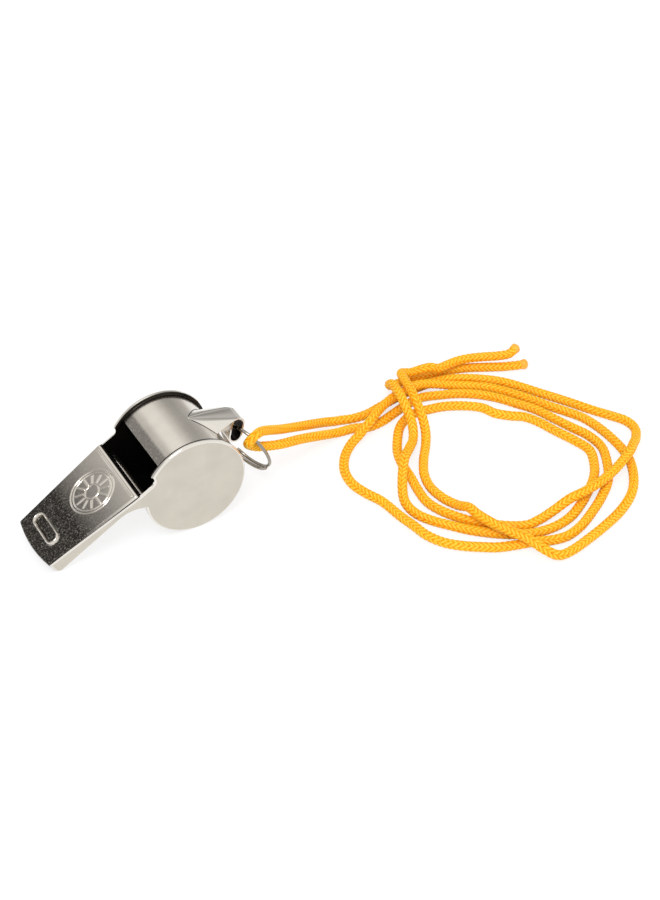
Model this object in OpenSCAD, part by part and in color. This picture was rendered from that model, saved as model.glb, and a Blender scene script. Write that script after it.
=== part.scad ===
// Sports whistle of plated sheet metal, with its cork ball, split ring and neck cord.
// The whistle is drawn level, its barrel's axis along Y, then laid down on the barrel
// and on the lower corner of the mouthpiece, as it lies on a table.

/* [Barrel] */
// Diameter over the side discs
disc_d = 22; // [21:0.5:23]
// Width over the two side discs
over_width = 18.7; // [18:0.1:20]
// Thickness of the body's sheet metal
sheet = 0.5; // [0.4:0.05:0.6]
// Depth of the rim that is turned in round each disc
rim_depth = 1.1; // [0.8:0.1:1.5]
// Width of the rim across its edge
rim_wall = 0.75; // [0.6:0.05:0.9]
// Rounding of the disc's outer edge
rim_round = 0.4; // [0.2:0.05:0.5]
// Angle of the voicing edge, up from the back of the level whistle
voicing_angle = 105.4; // [103:0.2:108]

/* [Mouthpiece] */
// Distance from the barrel's axis to the tip
reach = 31.7; // [30:0.2:34]
// Height of the top plate above the barrel's axis
top_height = 8.8; // [8.6:0.1:9.2]
// Height of the mouthpiece at its tip
tip_height = 3.9; // [3.6:0.1:4.2]
// Height of the mouthpiece at its waist
waist_height = 2.25; // [2.1:0.05:2.4]
// Width of the mouthpiece at its tip
tip_width = 14.6; // [13.6:0.2:15.6]
// Rounding of the lower corner at the tip
tip_round = 1.2; // [1:0.1:1.4]
// Forward bulge of the top plate's front edge
tip_bulge = 0.8; // [0.4:0.1:1.2]
// Distance from the barrel's axis to the window's front lip
window_lip = 9.15; // [9:0.05:9.6]

/* [Ball] */
// Diameter of the cork ball
pea_d = 9; // [8:0.5:9.5]
// Play between the rolling ball and the barrel wall
pea_play = 0.3; // [0.2:0.05:0.5]

/* [Lug and split ring] */
// Width of the lug and its curled eye
eye_width = 3.9; // [3.5:0.1:4.1]
// Radius of the eye's bends at mid thickness
eye_bend = 1.35; // [1.3:0.05:1.45]
// Straight side of the eye between its bends
eye_side = 2.8; // [2.7:0.1:3.1]
// Straight length of the lug from the barrel to the eye
lug_length = 11.4; // [11.2:0.1:11.8]
// Diameter of the ring's wire
wire_d = 0.7; // [0.6:0.05:0.75]
// Diameter of the split ring at mid wire
ring_d = 12.2; // [12:0.1:12.4]

/* [Neck cord] */
// Diameter of the braided cord
cord_d = 2; // [1.8:0.1:2]

/* [Hidden] */
fit = 0.05;
disc_r = disc_d / 2;
half_over = over_width / 2;
wall_in = half_over - sheet;
band_out = disc_r - rim_wall - fit;
band_in = band_out - sheet;
band_mid = band_out - sheet / 2;
band_end_angle = 150;
round_facets = 96;
small_facets = 32;
bend_step = 10;
far = 60;

// Side plates
window_angle = 125;
wall_angle = 157;
seat_height = top_height - sheet;
notch_round = 1.3;
notch_floor = seat_height - 0.1;
notch_right = 5;
hinge_x = 10.2;
tip_low = top_height - tip_height;
tip_half = tip_width / 2;
taper = atan2(half_over - tip_half, reach - hinge_x);
corner_x = reach - tip_round;
corner_z = tip_low + tip_round;
waist_x = 15.2;
waist_low = top_height - waist_height;
flare_r = 6;
edge_slope = atan2(waist_low - tip_low, corner_x - waist_x);
edge_run = norm([corner_x - waist_x, waist_low - tip_low]);
flare_centre = [-waist_x + flare_r * sin(edge_slope), waist_low - flare_r * cos(edge_slope)];
flare_turn = 50;

// The laid whistle touches the table with its discs and with the rounded lower corners of the tip
corner_swing = norm([corner_x, corner_z]);
tilt = asin((disc_r - tip_round) / corner_swing) + atan2(corner_z, corner_x);

// Top plate
plate_back = half_over - 0.35;
plate_front = tip_half - 0.1;
lip_round = 0.9;
lip_half = wall_in - 0.25;
relief = 0.12;
crease_r = 0.4;
crease_x = window_lip + 1.9;
grip_x = 28.5;
grip_length = 11.2;
grip_width = 3.4;
relief_line = 0.45;
emblem_x = 16.3;
emblem_radii = [4.5, 3.1, 1.4];

// Windway ramp
ramp_sheet = 0.3;
ramp_start = 10.8;
ramp_corner = 0.5;
ramp_leg_x = 9;

// Cork ball
orbit = band_in - pea_play - pea_d / 2;

// Lug with its curled eye
lug_angle = 45;
eye_lean = 3.4;
eye_gap_turn = 55;
lug_base_half = eye_width / 2;

// Split ring, as it hangs in the eye
hook_offset = [-0.3, 0, 0.1];
ring_turn = 20;
ring_lean = 17.5;
ring_slip = 16;
ring_pitch = 0.8;
ring_start = -50;
ring_end = 410;
ring_step = 10;
wire_sides = 8;

// Neck cord. The route was drawn for a hook at drawn_hook, and follows the hook where it hangs.
cord_sides = 6;
rings_per_point = 2;
lie = 1;
drawn_hook = [13.35, 0, 14.75];

// The bight round the ring, from the middle of the cord outward along its first half
bight_a = [
    [14.4, -5.4, 13.2], [14.1, -6.3, 14.4], [15.4, -6.4, 15.6], [17.6, -4.9, 14.8], [20.4, -3, 12.7],
    [24.8, -0.2, 9.2], [31, 2.5, 5.6], [37.5, 5.2, 2]
];

// First half: out along the far side, twice round the loops, over the bundle and to its end
lay_a = [
    [41, 5.2, 1], [44.5, 4.2, 1], [48, 4, 1], [52, 4.8, 1], [56, 5.6, 1], [60, 6.2, 1], [65, 6.4, 1],
    [69, 5.8, 1], [73, 4.1, 1], [76.4, 1.8, 1], [79.6, -1.1, 1], [82.6, -5.2, 1], [85.5, -9.8, 1],
    [88.2, -14, 1], [91, -18.7, 1], [93.4, -22.3, 1], [95.3, -25.5, 1], [95.4, -28.7, 1],
    [93.2, -31.8, 1.6], [90.6, -34.2, 2.9], [88, -36.4, 3.6], [85, -38, 3.5], [81.2, -39.8, 3.5],
    [76.8, -41.2, 3.5], [72.6, -42, 3.5], [68.6, -42.2, 3.3], [65, -42.2, 1.9], [61.6, -42.3, 1],
    [58.4, -42.5, 1], [55.4, -41.2, 1], [52.4, -39, 1], [49.6, -36.5, 1], [47.2, -33.4, 1],
    [45.3, -30, 1], [44.3, -26.5, 1], [44.6, -22.5, 1], [45.4, -18.2, 1], [45.9, -14.4, 1],
    [47, -10.5, 1], [49, -7, 1], [51.6, -3.6, 1], [54.5, -1.6, 1], [57.5, -0.9, 1], [60.5, -1.3, 1],
    [64, -2.1, 1], [67.9, -4.1, 1], [70.8, -6.5, 1], [72.2, -9.4, 1], [74.6, -11.8, 1],
    [77, -13.6, 1], [78.7, -16.5, 1], [80.2, -20.9, 1], [81.9, -25.5, 1], [82.8, -29.6, 1],
    [81, -33.8, 1], [78.6, -37, 1], [75, -40.1, 1], [71.2, -42.7, 1], [67.4, -44.7, 1],
    [63.2, -45.6, 1], [59, -45.3, 1], [55, -43.8, 1], [51.2, -41.3, 1], [47.5, -38.1, 1],
    [44.6, -34.8, 1], [42.2, -31.8, 1], [40.6, -28.8, 1], [40.2, -25.6, 1], [41, -22.5, 1.2],
    [43, -18.9, 2.6], [45.7, -15.2, 3.6], [49, -11.8, 2.6], [51.8, -8.8, 1.8], [53.2, -6, 3.4],
    [53.4, -3, 5.8], [53.9, 0.1, 6.5], [54.4, 2.8, 6.4], [55, 5.4, 5.6], [55.8, 7.8, 3.4],
    [57.6, 9.4, 1.4], [60.6, 9.8, 1], [64.5, 9.3, 1], [68, 8.8, 1], [71.5, 8.2, 1], [75.4, 7, 1],
    [79.5, 5, 1], [82.7, 3.4, 1], [85.3, 2.4, 1], [87.2, 1.6, 1.2]
];

// The same bight, from the middle of the cord along its second half
bight_b = [
    [15.8, -4.9, 11.8], [17.9, -4.7, 10.7], [22.4, -3.9, 8.8], [28.6, -1.6, 6], [34.6, 0.5, 3]
];

// Second half: along the near side, twice round, over the bundle and to its end
lay_b = [
    [39.2, 1.5, 1.2], [43, 1.2, 1], [46.2, 0, 1], [49.4, 0.2, 1], [52.8, 1.2, 1], [56.5, 2.3, 1],
    [61, 3, 1], [65.5, 1.6, 1], [69.1, 0.1, 1], [72.5, -2.2, 1], [75.4, -5.1, 1], [77.9, -8.7, 1],
    [80.5, -12.7, 1], [82.2, -17.1, 1], [83.8, -21.4, 1], [85.4, -25.6, 1], [85.6, -30.2, 1],
    [83.4, -35.2, 1], [80.4, -39.5, 1], [76.2, -43, 1], [71.8, -45.8, 1], [67.6, -48, 1],
    [63.6, -49.1, 1], [60, -48.6, 1], [56.6, -47.2, 1], [53, -46.2, 1], [49.5, -45, 1],
    [46.2, -43, 1], [43.4, -41, 1], [40.8, -38.4, 1], [39, -35, 1], [38.2, -31.3, 1],
    [37.3, -27.4, 1], [36.4, -22, 1], [34.7, -17.8, 1], [33.8, -14, 1], [34.4, -9.9, 1],
    [36.6, -6.1, 1], [39.6, -3.4, 1.2], [42.7, -2.2, 2.2], [45.9, -1, 3.6], [49.7, 1.4, 3.6],
    [53.3, 3.1, 3.6], [57, 4.1, 3.6], [61, 4.6, 3.5], [65, 4.2, 2.5], [69, 3.2, 1.2],
    [72.6, 1.2, 1], [75.8, -1.2, 1], [78.6, -4.6, 1], [81.3, -8.8, 1], [83.6, -12.9, 1],
    [85.8, -16.4, 1], [87.8, -20, 1], [88.8, -24, 1], [89.2, -28.4, 1], [89, -33, 1],
    [88, -37, 1], [85.6, -41.4, 1], [82.2, -45.2, 1], [77.4, -48.2, 1], [72.3, -50.2, 1],
    [67, -51.8, 1], [62, -53, 1], [58.6, -53, 1.2], [56.2, -51.2, 2.5], [54.4, -48, 3.6],
    [52.5, -44.4, 3.6], [50.7, -40.6, 3.6], [49.6, -37, 3.6], [49.5, -34, 3.1], [48.9, -31, 1.6],
    [47.8, -27.2, 1], [47.3, -23.2, 1], [48.3, -19, 1], [50.6, -15, 1], [53.6, -11, 1],
    [55.4, -8, 1.8], [56, -5.4, 4], [56.2, -2.6, 6], [56.8, 0.4, 6.5], [57.4, 3.4, 6.4],
    [58.1, 6.4, 6], [59.4, 8.4, 4.9], [61.6, 8.3, 4.2], [63.8, 7.5, 4.8], [65.8, 7, 4.9],
    [67.8, 6.8, 4], [70.4, 7.3, 3.6], [73.3, 7.5, 3.5], [76, 7, 3.5], [79, 5.9, 3.5],
    [82, 4.6, 3.5], [84.6, 4, 3.5], [86.6, 4.6, 3.8]
];

// Direction of an angle in the plane of a profile
function dir(a) = [cos(a), sin(a)];

function unit(v) = v / norm(v);

function last(list) = list[len(list) - 1];

// Middle line of a bent sheet. Each run is [straight length, bend radius, bend angle].
function bent(runs, p, heading, k = 0) =
    k == len(runs) ? [p] :
    let (
        run = runs[k],
        q = p + run[0] * dir(heading),
        side = run[2] < 0 ? -1 : 1,
        centre = q + run[1] * side * dir(heading + 90),
        count = ceil(abs(run[2]) / bend_step),
        arc = [for (i = [0:count - 1]) centre - run[1] * side * dir(heading + 90 + run[2] * i / count)],
        next = centre - run[1] * side * dir(heading + 90 + run[2])
    )
    concat([p], run[2] == 0 ? [] : arc, bent(runs, run[2] == 0 ? q : next, heading + run[2], k + 1));

// Points without those that repeat the one before
function distinct(line) = [for (i = [0:len(line) - 1]) if (i == 0 || norm(line[i] - line[i - 1]) > 0.001) line[i]];

// Left-hand normal of a line at one of its points, stretched at the corners
function mitre(line, i) =
    let (
        into = unit(line[max(i, 1)] - line[max(i, 1) - 1]),
        out = unit(line[min(i + 1, len(line) - 1)] - line[min(i + 1, len(line) - 1) - 1]),
        sum = unit([-into[1], into[0]] + [-out[1], out[0]])
    )
    sum / (sum * [-into[1], into[0]]);

// Outline of a sheet of even thickness along its middle line
module strip(points, thick) {
    line = distinct(points);
    count = len(line);
    polygon(concat(
        [for (i = [0:count - 1]) line[i] + thick / 2 * mitre(line, i)],
        [for (i = [count - 1:-1:0]) line[i] - thick / 2 * mitre(line, i)]
    ));
}

// Stands a profile of X and Z up, centred across the whistle
module across(width) {
    rotate([90, 0, 0])
        linear_extrude(width, center = true)
            children();
}

// Lays the level whistle down, with the frame's origin under the middle of its length
module laid() {
    translate([shift_x, 0, disc_r])
        rotate([0, -tilt, 0])
            children();
}

// Half the clear width between the side walls at a distance from the barrel's axis
function inner_half(x) =
    x < hinge_x ? wall_in : half_over - sheet / cos(taper) - (x - hinge_x) * tan(taper);

// The space between the side walls, seen from above
module between_walls() {
    translate([0, 0, -far / 2])
        linear_extrude(far)
            polygon([
                [-reach - hinge_x, -inner_half(reach + hinge_x)], [-hinge_x, -inner_half(hinge_x)],
                [-hinge_x + fit, -wall_in], [far, -wall_in], [far, wall_in], [-hinge_x + fit, wall_in],
                [-hinge_x, inner_half(hinge_x)], [-reach - hinge_x, inner_half(reach + hinge_x)]
            ]);
}

module barrel_core(r) {
    rotate([90, 0, 0])
        cylinder(h = far, r = r, center = true, $fn = round_facets);
}

// Side wall of the mouthpiece, with its rounded corner and its flare into the disc
module wall_outline() {
    polygon(concat(
        [[0, seat_height], [-reach, seat_height]],
        [for (a = [180:15:270 + edge_slope]) [-corner_x, corner_z] + tip_round * dir(a)],
        [for (a = [90 + edge_slope:-5:90 - flare_turn]) flare_centre + flare_r * dir(a)],
        [[0, 0]]
    ));
}

// Opening cut for the window, down to the top plate's seat
module window_notch() {
    hull() {
        translate([-notch_right - notch_round, notch_floor + notch_round])
            circle(notch_round, $fn = small_facets);
        translate([-window_lip, notch_floor])
            square([notch_round, disc_r]);
        translate([-notch_right - notch_round, disc_r])
            square(notch_round);
    }
}

// Half section of the disc, with its rounded outer edge
module disc_profile() {
    polygon(concat(
        [[0, wall_in], [disc_r, wall_in]],
        [for (a = [0:15:90]) [disc_r - rim_round, half_over - rim_round] + rim_round * dir(a)],
        [[0, half_over]]
    ));
}

// The rim runs from the wall's flare round the back to the window
module disc_rim() {
    rotate([90, 0, 0])
        rotate([0, 0, wall_angle])
            rotate_extrude(angle = 360 + window_angle - wall_angle, $fn = round_facets)
                translate([band_out + fit, half_over - rim_depth])
                    square([disc_r - band_out - 2 * fit, rim_depth - sheet / 2]);
}

// Side wall seen from above, straight beside the barrel and then tapered to the tip
module wall_plan() {
    polygon([
        [0, wall_in], [0, half_over], [-hinge_x, half_over], [-reach, tip_half],
        [-reach, inner_half(reach)], [-hinge_x, wall_in]
    ]);
}

// Pressed side plate: a rimmed disc and the tapered wall of the mouthpiece in one sheet
module side_plate() {
    color("lightgray")
        difference() {
            union() {
                rotate([90, 0, 0])
                    rotate_extrude($fn = round_facets)
                        disc_profile();
                disc_rim();
                intersection() {
                    across(over_width + far)
                        wall_outline();
                    mirror([0, 1, 0])
                        translate([0, 0, -far / 2])
                            linear_extrude(far)
                                wall_plan();
                }
            }
            across(over_width + far)
                window_notch();
        }
}

module side_plate_near() {
    laid()
        side_plate();
}

module side_plate_far() {
    laid()
        mirror([0, 1, 0])
            side_plate();
}

// Lug that leaves the barrel at a tangent, and the eye curled from its end
module lug() {
    start = band_mid * dir(lug_angle);
    heading = lug_angle - 90;
    line_end = start + lug_length * dir(heading);
    first_turn = 90 - eye_lean;
    last_turn = 90 + eye_lean - eye_gap_turn;
    intersection() {
        across(eye_width)
            strip([start, line_end], sheet);
        translate([0, 0, -far / 2])
            linear_extrude(far)
                polygon([
                    [0, 0], [start[0], 0], [line_end[0] - fit, -eye_width / 2], [far, -eye_width / 2],
                    [far, lug_base_half], [0, lug_base_half]
                ]);
    }
    across(eye_width)
        strip(bent([
            [0, eye_bend, -first_turn], [eye_side, eye_bend, -180], [eye_side, eye_bend, -last_turn]
        ], line_end, heading), sheet);
}

// Strip rolled into the barrel, from the voicing edge over the back and round to the mouthpiece
module barrel_band() {
    color("silver")
        laid() {
            rotate([90, 0, 0])
                rotate([0, 0, band_end_angle])
                    rotate_extrude(angle = 360 + voicing_angle - band_end_angle, $fn = round_facets)
                        translate([band_in, -wall_in])
                            square([sheet, 2 * wall_in]);
            lug();
        }
}

// Floor of the mouthpiece, from the tip past the waist and down to the barrel
module mouthpiece_floor() {
    start = [-corner_x, tip_low] + sheet / 2 * dir(90 + edge_slope);
    color("silver")
        laid()
            difference() {
                intersection() {
                    across(over_width)
                        strip(bent([[edge_run, flare_r + sheet / 2, -flare_turn - 2 * bend_step]], start, edge_slope), sheet);
                    between_walls();
                }
                barrel_core(band_out);
            }
}

// Ramp that rides up the floor, makes the windway's slot and closes the barrel below the window
module windway_ramp() {
    lift = sheet + fit + ramp_sheet / 2;
    foot = [-corner_x, tip_low] + ramp_start * dir(edge_slope) + lift * dir(90 + edge_slope);
    ramp_flat = edge_run - ramp_start;
    ramp_bend = flare_r + lift;
    level = foot + ramp_flat * dir(edge_slope) + ramp_bend * [sin(edge_slope), 1 - cos(edge_slope)];
    run = -ramp_leg_x - ramp_corner - level[0];
    color("gray")
        laid()
            difference() {
                intersection() {
                    across(over_width)
                        strip(bent([
                            [ramp_flat, ramp_bend, -edge_slope], [run, ramp_corner, -90], [ramp_bend, 0, 0]
                        ], foot, edge_slope), ramp_sheet);
                    between_walls();
                }
                barrel_core(band_out);
            }
}

// A raised line round a stadium shape
module stadium_line(length, width) {
    difference() {
        hull()
            for (side = [-1, 1])
                translate([0, side * (length - width) / 2])
                    circle(d = width, $fn = small_facets);
        hull()
            for (side = [-1, 1])
                translate([0, side * (length - width) / 2])
                    circle(d = width - 2 * relief_line, $fn = small_facets);
    }
}

// Top plate with its bowed front edge, its turned lip at the window, and its relief
module mouthpiece_top() {
    bow_r = (plate_front ^ 2 + tip_bulge ^ 2) / (2 * tip_bulge);
    bow_angle = asin(plate_front / bow_r);
    color("whitesmoke")
        laid() {
            translate([0, 0, seat_height])
                linear_extrude(sheet)
                    polygon(concat(
                        [[-window_lip - lip_round, plate_back], [-reach, plate_front]],
                        [for (i = [-5:5])
                            [-reach - tip_bulge + bow_r, 0] + bow_r * dir(180 + bow_angle * i / 6)],
                        [[-reach, -plate_front], [-window_lip - lip_round, -plate_back]]
                    ));
            across(2 * lip_half)
                strip(bent([
                    [lip_round / 2, lip_round - sheet / 2, -75]
                ], [-window_lip - 1.5 * lip_round, top_height - sheet / 2], 0), sheet);
            translate([-crease_x, 0, top_height - crease_r + relief])
                rotate([90, 0, 0])
                    cylinder(h = 2 * lip_half - lip_round, r = crease_r, center = true, $fn = small_facets);
            translate([-grip_x, 0, top_height])
                linear_extrude(relief)
                    stadium_line(grip_length, grip_width);
            for (r = emblem_radii)
                translate([-emblem_x, 0, top_height])
                    linear_extrude(relief)
                        difference() {
                            circle(r, $fn = round_facets);
                            circle(r - relief_line, $fn = round_facets);
                        }
        }
}

// Cork ball, lying at the bottom of the barrel
module cork_ball() {
    color("peru")
        translate([shift_x, 0, disc_r - orbit])
            sphere(d = pea_d, $fn = round_facets);
}

// Swept tube of closed sections, each a list of points round its middle
module swept(sections) {
    sides = len(sections[0]);
    count = len(sections);
    polyhedron(
        points = [for (s = sections) each s],
        faces = concat(
            [for (i = [1:sides - 2]) [0, i + 1, i]],
            [for (k = [0:count - 2], i = [0:sides - 1])
                each [
                    [k * sides + i, k * sides + (i + 1) % sides, (k + 1) * sides + (i + 1) % sides],
                    [k * sides + i, (k + 1) * sides + (i + 1) % sides, (k + 1) * sides + i]
                ]],
            [for (i = [1:sides - 2]) (count - 1) * sides * [1, 1, 1] + [0, i, i + 1]]
        )
    );
}

// Place of the eye's middle in the laid whistle, before the frame's shift
line_end = band_mid * dir(lug_angle) + lug_length * dir(lug_angle - 90);
eye_middle = line_end + eye_bend * dir(lug_angle - 180) + eye_side / 2 * dir(lug_angle - 180 + eye_lean);
eye_laid = [
    eye_middle[0] * cos(tilt) - eye_middle[1] * sin(tilt), 0,
    disc_r + eye_middle[0] * sin(tilt) + eye_middle[1] * cos(tilt)
];
hook = eye_laid + hook_offset;

// The ring's plane and middle
ring_r = ring_d / 2;
ring_normal = [cos(ring_turn) * cos(ring_lean), sin(ring_turn) * cos(ring_lean), sin(ring_lean)];
ring_side = unit([0, 1, 0] - ring_normal[1] * ring_normal);
ring_down = cross(ring_side, ring_normal);
ring_middle = hook + ring_r * (cos(ring_slip) * ring_down - sin(ring_slip) * ring_side);

function ring_out(a) = cos(a) * ring_down + sin(a) * ring_side;

function ring_point(a) = ring_middle + ring_r * ring_out(a) + ring_pitch * (a - 180) / 360 * ring_normal;

ring_angles = [ring_start:ring_step:ring_end];
ring_reach = max([for (a = ring_angles) ring_point(a)[0]]) + wire_d / 2;
tip_reach = (reach + tip_bulge) * cos(tilt) + top_height * sin(tilt);
shift_x = (tip_reach - ring_reach) / 2;

// Split ring of wire, wound a little more than once round
module split_ring() {
    color("gainsboro")
        translate([shift_x, 0, 0])
            swept([for (a = ring_angles) [for (i = [0:wire_sides - 1])
                ring_point(a) + wire_d / 2 * (cos(360 * i / wire_sides) * ring_out(a)
                    + sin(360 * i / wire_sides) * ring_normal)]]);
}

// A point of the hanging part of the cord moves with the hook, less the nearer it is to the table
slide = hook - drawn_hook;

function follow(p) = let (share = min(1, (p[2] - lie) / (drawn_hook[2] - lie)))
    [p[0] + slide[0], p[1], p[2] + slide[2] * share];

function rest(p) = [p[0] + slide[0], p[1], p[2]];

route_a = concat([for (p = bight_a) follow(p)], [for (p = lay_a) rest(p)]);
route_b = concat([for (p = bight_b) follow(p)], [for (p = lay_b) rest(p)]);
route = concat([for (i = [len(route_a) - 1:-1:0]) route_a[i]], route_b);
route_last = len(route) - 1;
bight_ring = (len(route_a) - 1) * rings_per_point;

// Smooth curve through the route's points, at a share t of the way from point i to the next
function along(i, t) =
    let (
        p1 = route[i],
        p2 = route[i + 1],
        p0 = i == 0 ? 2 * p1 - p2 : route[i - 1],
        p3 = i + 2 > route_last ? 2 * p2 - p1 : route[i + 2],
        q = 2 * p1 + (p2 - p0) * t + (2 * p0 - 5 * p1 + 4 * p2 - p3) * t ^ 2 + (3 * p1 - p0 - 3 * p2 + p3) * t ^ 3
    )
    [q[0] / 2, q[1] / 2, max(q[2] / 2, lie)];

centres = concat(
    [for (i = [0:route_last - 1], k = [0:rings_per_point - 1]) along(i, k / rings_per_point)],
    [route[route_last]]
);
centre_last = len(centres) - 1;
tangents = [for (i = [0:centre_last]) unit(centres[min(i + 1, centre_last)] - centres[max(i - 1, 0)])];

// Each section's side direction is the one before, turned as little as the bend allows
sides_of = [
    for (i = 0, s = unit(cross(tangents[0], [0, 0, 1]));
        i <= centre_last;
        i = i + 1, s = i <= centre_last ? unit(s - (s * tangents[i]) * tangents[i]) : s) s
];

function cord_section(i) = [for (k = [0:cord_sides - 1])
    centres[i] + cord_d / 2 * (cos(360 * k / cord_sides) * sides_of[i]
        + sin(360 * k / cord_sides) * cross(tangents[i], sides_of[i]))];

// Distance from a point to a short stretch of the cord
function off_stretch(p, a, b) = let (t = max(0, min(1, (p - a) * (b - a) / ((b - a) * (b - a))))) norm(p - a - t * (b - a));

near_rings = 5;
least_gap = min([for (i = [0:centre_last - near_rings - 1])
    min([for (k = [i + near_rings:centre_last - 1]) off_stretch(centres[i], centres[k], centres[k + 1])])]) - cord_d;
cord_length = [for (i = 0, sum = 0; i <= centre_last; sum = sum + (i < centre_last ? norm(centres[i + 1] - centres[i]) : 0), i = i + 1) sum];

module strand(from, to) {
    color("orange")
        translate([shift_x, 0, 0])
            swept([for (i = [from:to]) cord_section(i)]);
}

module lanyard_strand_a() {
    echo(least_gap = least_gap, length = last(cord_length), bight_at = cord_length[bight_ring]);
    strand(0, bight_ring);
}

module lanyard_strand_b() {
    strand(bight_ring, centre_last);
}

// Melted end of the cord, a low dome on its cut face
module sealed_end(at, way) {
    translate(at)
        rotate([0, acos(way[2]), atan2(way[1], way[0])])
            rotate_extrude($fn = small_facets)
                polygon(concat([[0, 0]], [for (a = [0:15:90]) cord_d / 2 * [cos(a) * 1.15, sin(a) * 0.9]]));
}

module lanyard_sealed_ends() {
    color("darkorange")
        translate([shift_x, 0, 0]) {
            sealed_end(centres[0], -tangents[0]);
            sealed_end(last(centres), last(tangents));
        }
}

barrel_band();
side_plate_near();
side_plate_far();
mouthpiece_top();
mouthpiece_floor();
windway_ramp();
cork_ball();
split_ring();
lanyard_strand_a();
lanyard_strand_b();
lanyard_sealed_ends();
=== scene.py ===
import math

import bmesh
import bpy
import numpy as np
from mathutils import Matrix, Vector


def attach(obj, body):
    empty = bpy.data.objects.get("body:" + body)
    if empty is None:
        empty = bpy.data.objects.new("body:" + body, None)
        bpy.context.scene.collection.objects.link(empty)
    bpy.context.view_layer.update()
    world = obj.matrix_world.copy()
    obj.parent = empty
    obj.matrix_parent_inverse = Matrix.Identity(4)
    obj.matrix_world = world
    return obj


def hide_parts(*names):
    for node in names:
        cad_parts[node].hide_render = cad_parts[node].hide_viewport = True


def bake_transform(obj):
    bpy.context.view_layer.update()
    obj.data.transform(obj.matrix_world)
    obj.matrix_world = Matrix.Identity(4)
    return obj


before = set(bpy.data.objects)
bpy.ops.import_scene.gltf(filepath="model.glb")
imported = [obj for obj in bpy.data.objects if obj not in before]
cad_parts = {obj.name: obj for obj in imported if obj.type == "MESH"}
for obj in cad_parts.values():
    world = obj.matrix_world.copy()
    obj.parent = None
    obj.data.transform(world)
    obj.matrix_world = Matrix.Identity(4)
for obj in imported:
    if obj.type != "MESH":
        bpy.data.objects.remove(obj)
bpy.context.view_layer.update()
print("frame loaded")

mm = 0.001

# How the whistle lies: every size below is in millimetres in the level whistle's own axes
lay = {"tilt": 29.675, "shift": 7.101, "discRadius": 11.0, "halfOver": 9.35, "sheet": 0.5}
lay["cos"] = math.cos(math.radians(lay["tilt"]))
lay["sin"] = math.sin(math.radians(lay["tilt"]))


def laid(along, side, up):
    x = along * lay["cos"] - up * lay["sin"] + lay["shift"]
    z = lay["discRadius"] + along * lay["sin"] + up * lay["cos"]
    return (x * mm, side * mm, z * mm)


def inRow(points):
    return (np.asarray(points, float) + [lay["shift"], 0, 0]) * mm


def linear(hexColour):
    rgb = [int(hexColour[i : i + 2], 16) / 255 for i in (1, 3, 5)]
    return [c / 12.92 if c <= 0.04045 else ((c + 0.055) / 1.055) ** 2.4 for c in rgb] + [1.0]


def addNode(tree, kind, settings=None, links=None, stops=()):
    node = tree.nodes.new(kind)
    for key, value in (settings or {}).items():
        if isinstance(key, int) or key in node.inputs:
            node.inputs[key].default_value = value
        else:
            setattr(node, key, value)
    for key, source in (links or {}).items():
        tree.links.new(source, node.inputs[key])
    for i, (position, colour) in enumerate(stops):  # of a colour ramp
        elements = node.color_ramp.elements
        stop = elements[i] if i < len(elements) else elements.new(position)
        stop.position, stop.color = position, colour
    return node


def perMetre(sizeMm):  # noise scale that gives features of this size
    return 1000 / sizeMm


def newMaterial(name, values):  # values are what is the same all over
    material = bpy.data.materials.new(name)
    material.use_nodes = True
    shader = material.node_tree.nodes["Principled BSDF"]
    for socket, value in values.items():
        shader.inputs[socket].default_value = value
    return material, material.node_tree, shader


def wanderingTone(tree, shader, sizeMm, detail, stops):  # a colour that drifts over this size
    where = {"Vector": addNode(tree, "ShaderNodeTexCoord").outputs["Object"]}
    noise = addNode(tree, "ShaderNodeTexNoise", {"Scale": perMetre(sizeMm), "Detail": detail}, where)
    ramp = addNode(tree, "ShaderNodeValToRGB", None, {"Fac": noise.outputs["Fac"]}, stops)
    tree.links.new(ramp.outputs["Color"], shader.inputs["Base Color"])
    return noise, where


def finishMesh(mesh, sharpDegrees):
    mesh.polygons.foreach_set("use_smooth", [True] * len(mesh.polygons))
    mesh.set_sharp_from_angle(angle=math.radians(sharpDegrees))
    mesh.update()


def addPiece(name, points, faces, material, body=None, sharp=35):
    mesh = bpy.data.meshes.new(name)
    mesh.from_pydata([tuple(p) for p in points], [], [tuple(f) for f in faces])
    mesh.validate()
    finishMesh(mesh, sharp)
    piece = bpy.data.objects.new(name, mesh)
    bpy.context.scene.collection.objects.link(piece)
    mesh.materials.append(material)
    if body:
        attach(piece, body)
    return piece


def tubeFaces(rings, around):  # quads between rings of points that follow each other
    faces = []
    for i in range(rings - 1):
        for j in range(around):
            a, b, beside = i * around, (i + 1) * around, (j + 1) % around
            faces.append((a + j, a + beside, b + beside, b + j))
    return faces


def outwards(piece):
    mesh = piece.data
    bpy.context.view_layer.objects.active = piece
    work = bmesh.new()
    work.from_mesh(mesh)
    bmesh.ops.recalc_face_normals(work, faces=work.faces)
    work.to_mesh(mesh)
    work.free()
    finishMesh(mesh, 35)


def flatFaces(piece):
    weighted = piece.modifiers.new("flatFaces", "WEIGHTED_NORMAL")
    weighted.keep_sharp = True


def edgeRounding(piece, width):
    bevel = piece.modifiers.new("edgeRounding", "BEVEL")
    bevel.width = width * mm
    bevel.segments = 3
    bevel.limit_method = "ANGLE"
    bevel.angle_limit = math.radians(40)
    flatFaces(piece)


# Camera, placed from the fit of the two discs and the cord on the photograph
cameraSettings = {
    "azimuth": -29.6, "elevation": 40.5, "distance": 400.0, "target": (35.0, -1.45, 0.0),
    "pixels": 1884.0, "photoWidth": 660, "sensor": 36,
}


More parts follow.
